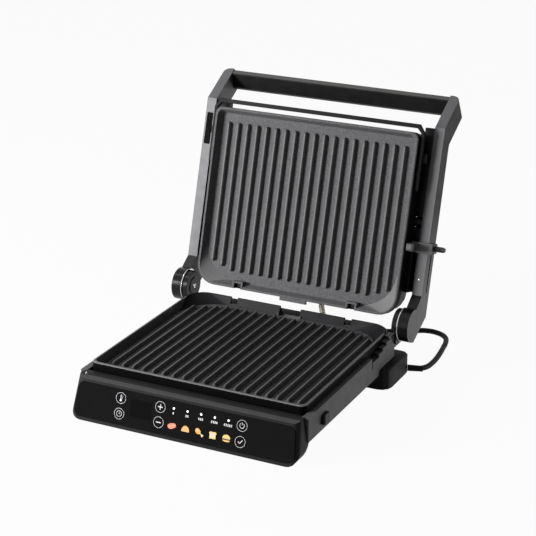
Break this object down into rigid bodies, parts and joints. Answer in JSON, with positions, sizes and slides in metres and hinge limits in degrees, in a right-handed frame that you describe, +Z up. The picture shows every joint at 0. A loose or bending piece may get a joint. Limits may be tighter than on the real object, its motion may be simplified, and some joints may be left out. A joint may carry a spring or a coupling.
{
  "type": "electric contact grill",
  "caption": "Countertop contact grill with a fold-back lid, ribbed plates, tilting upper head, height slider and sloped touch panel.",
  "frame": {"origin": "centre of the grill's footprint box, lid open and without the cord's pieces, on the surface that it stands on", "axes": "+X to the user's right, +Y towards the hinge and away from the user, +Z up"},
  "size_m": [0.3604, 0.4628, 0.3319],
  "materials": {
    "side_frame": "satin warm grey",
    "step_rack": "moulded black",
    "lower_housing": "satin black",
    "foot_front_right": "matte black",
    "foot_front_left": "matte black",
    "foot_rear_right": "matte black",
    "foot_rear_left": "matte black",
    "front_fascia": "satin black",
    "touch_glass": "black glass panel with printed graphics",
    "display_board": "circuit board",
    "power_board": "circuit board",
    "terminal_block": "cream",
    "lower_plate": "non-stick coating",
    "lower_element": "heat-tinted tube",
    "lower_reflector": "bright sheet",
    "lower_thermostat": "ceramic white",
    "lower_release_right": "satin black",
    "lower_release_left": "satin black",
    "hinge_ear_right": "gloss black",
    "hinge_ear_left": "gloss black",
    "hinge_pin_right": "turned",
    "hinge_pin_left": "turned",
    "cup_rail_right": "black",
    "cup_rail_left": "black",
    "drip_cup": "black",
    "arm_right": "satin warm grey, black faces",
    "arm_left": "satin warm grey, black faces",
    "hinge_ring_right": "polished",
    "hinge_ring_left": "polished",
    "head_pivot_right": "turned",
    "head_pivot_left": "turned",
    "handle_bar": "satin brownish black",
    "arm_window": "black window",
    "slider_strap": "satin",
    "slider_housing": "satin black",
    "slider_knob": "satin",
    "head_cover": "satin black",
    "head_rail": "satin grey",
    "upper_plate": "non-stick coating",
    "upper_element": "heat-tinted tube",
    "upper_reflector": "bright sheet",
    "upper_thermostat": "ceramic white",
    "upper_release_right": "satin black",
    "upper_release_left": "satin black",
    "braided_conduit": "braided sleeve",
    "cord_gland": "black bush",
    "mains_cord": "satin black jacket",
    "cord_coil": "satin black jacket",
    "cord_tail": "satin black jacket",
    "plug_body": "moulded black",
    "plug_pin_rear": "nickel plated",
    "plug_pin_front": "nickel plated"
  },
  "bodies": {
    "base": {"side_frame": "side_frame", "step_rack": "step_rack", "lower_housing": "lower_housing", "foot_front_right": "foot_front_right", "foot_front_left": "foot_front_left", "foot_rear_right": "foot_rear_right", "foot_rear_left": "foot_rear_left", "front_fascia": "front_fascia", "touch_glass": "touch_glass", "display_board": "display_board", "power_board": "power_board", "terminal_block": "terminal_block", "lower_plate": "lower_plate", "lower_element": "lower_element", "lower_reflector": "lower_reflector", "lower_thermostat": "lower_thermostat", "hinge_ear_right": "hinge_ear_right", "hinge_ear_left": "hinge_ear_left", "hinge_pin_right": "hinge_pin_right", "hinge_pin_left": "hinge_pin_left", "cup_rail_right": "cup_rail_right", "cup_rail_left": "cup_rail_left", "braided_conduit": "braided_conduit", "cord_gland": "cord_gland", "mains_cord": "mains_cord", "cord_coil": "cord_coil", "cord_tail": "cord_tail", "plug_body": "plug_body", "plug_pin_rear": "plug_pin_rear", "plug_pin_front": "plug_pin_front"},
    "lower_button_right": {"lower_release_right": "lower_release_right"},
    "lower_button_left": {"lower_release_left": "lower_release_left"},
    "cup": {"drip_cup": "drip_cup"},
    "lid": {"arm_right": "arm_right", "arm_left": "arm_left", "hinge_ring_right": "hinge_ring_right", "hinge_ring_left": "hinge_ring_left", "head_pivot_right": "head_pivot_right", "head_pivot_left": "head_pivot_left", "handle_bar": "handle_bar", "arm_window": "arm_window"},
    "head": {"head_cover": "head_cover", "head_rail": "head_rail", "upper_plate": "upper_plate", "upper_element": "upper_element", "upper_reflector": "upper_reflector", "upper_thermostat": "upper_thermostat"},
    "upper_button_right": {"upper_release_right": "upper_release_right"},
    "upper_button_left": {"upper_release_left": "upper_release_left"},
    "slider": {"slider_strap": "slider_strap", "slider_housing": "slider_housing", "slider_knob": "slider_knob"}
  },
  "joints": [
    {"name": "lid_hinge", "type": "hinge", "parent": "base", "child": "lid", "pos_m": [-0.00965, 0.07534, 0.0653], "axis": [1, 0, 0], "range_deg": [0, 106], "deforming": ["braided_conduit"]},
    {"name": "head_tilt", "type": "hinge", "parent": "lid", "child": "head", "pos_m": [-0.00965, 0.13905, 0.18227], "axis": [1, 0, 0], "range_deg": [-12, 0], "deforming": ["braided_conduit"]},
    {"name": "height_slide", "type": "slide", "parent": "lid", "child": "slider", "axis": [0, 0.2756, 0.9613], "range_m": [-0.045, 0]},
    {"name": "lower_release_right_press", "type": "slide", "parent": "base", "child": "lower_button_right", "axis": [-1, 0, 0], "range_m": [0, 0.003], "stiffness_N_per_m": 300},
    {"name": "lower_release_left_press", "type": "slide", "parent": "base", "child": "lower_button_left", "axis": [1, 0, 0], "range_m": [0, 0.003], "stiffness_N_per_m": 300},
    {"name": "upper_release_right_press", "type": "slide", "parent": "head", "child": "upper_button_right", "axis": [-1, 0, 0], "range_m": [0, 0.003], "stiffness_N_per_m": 300},
    {"name": "upper_release_left_press", "type": "slide", "parent": "head", "child": "upper_button_left", "axis": [1, 0, 0], "range_m": [0, 0.003], "stiffness_N_per_m": 300},
    {"name": "cup_pull", "type": "slide", "parent": "base", "child": "cup", "axis": [0, 1, 0], "range_m": [0, 0.04]}
  ]
}
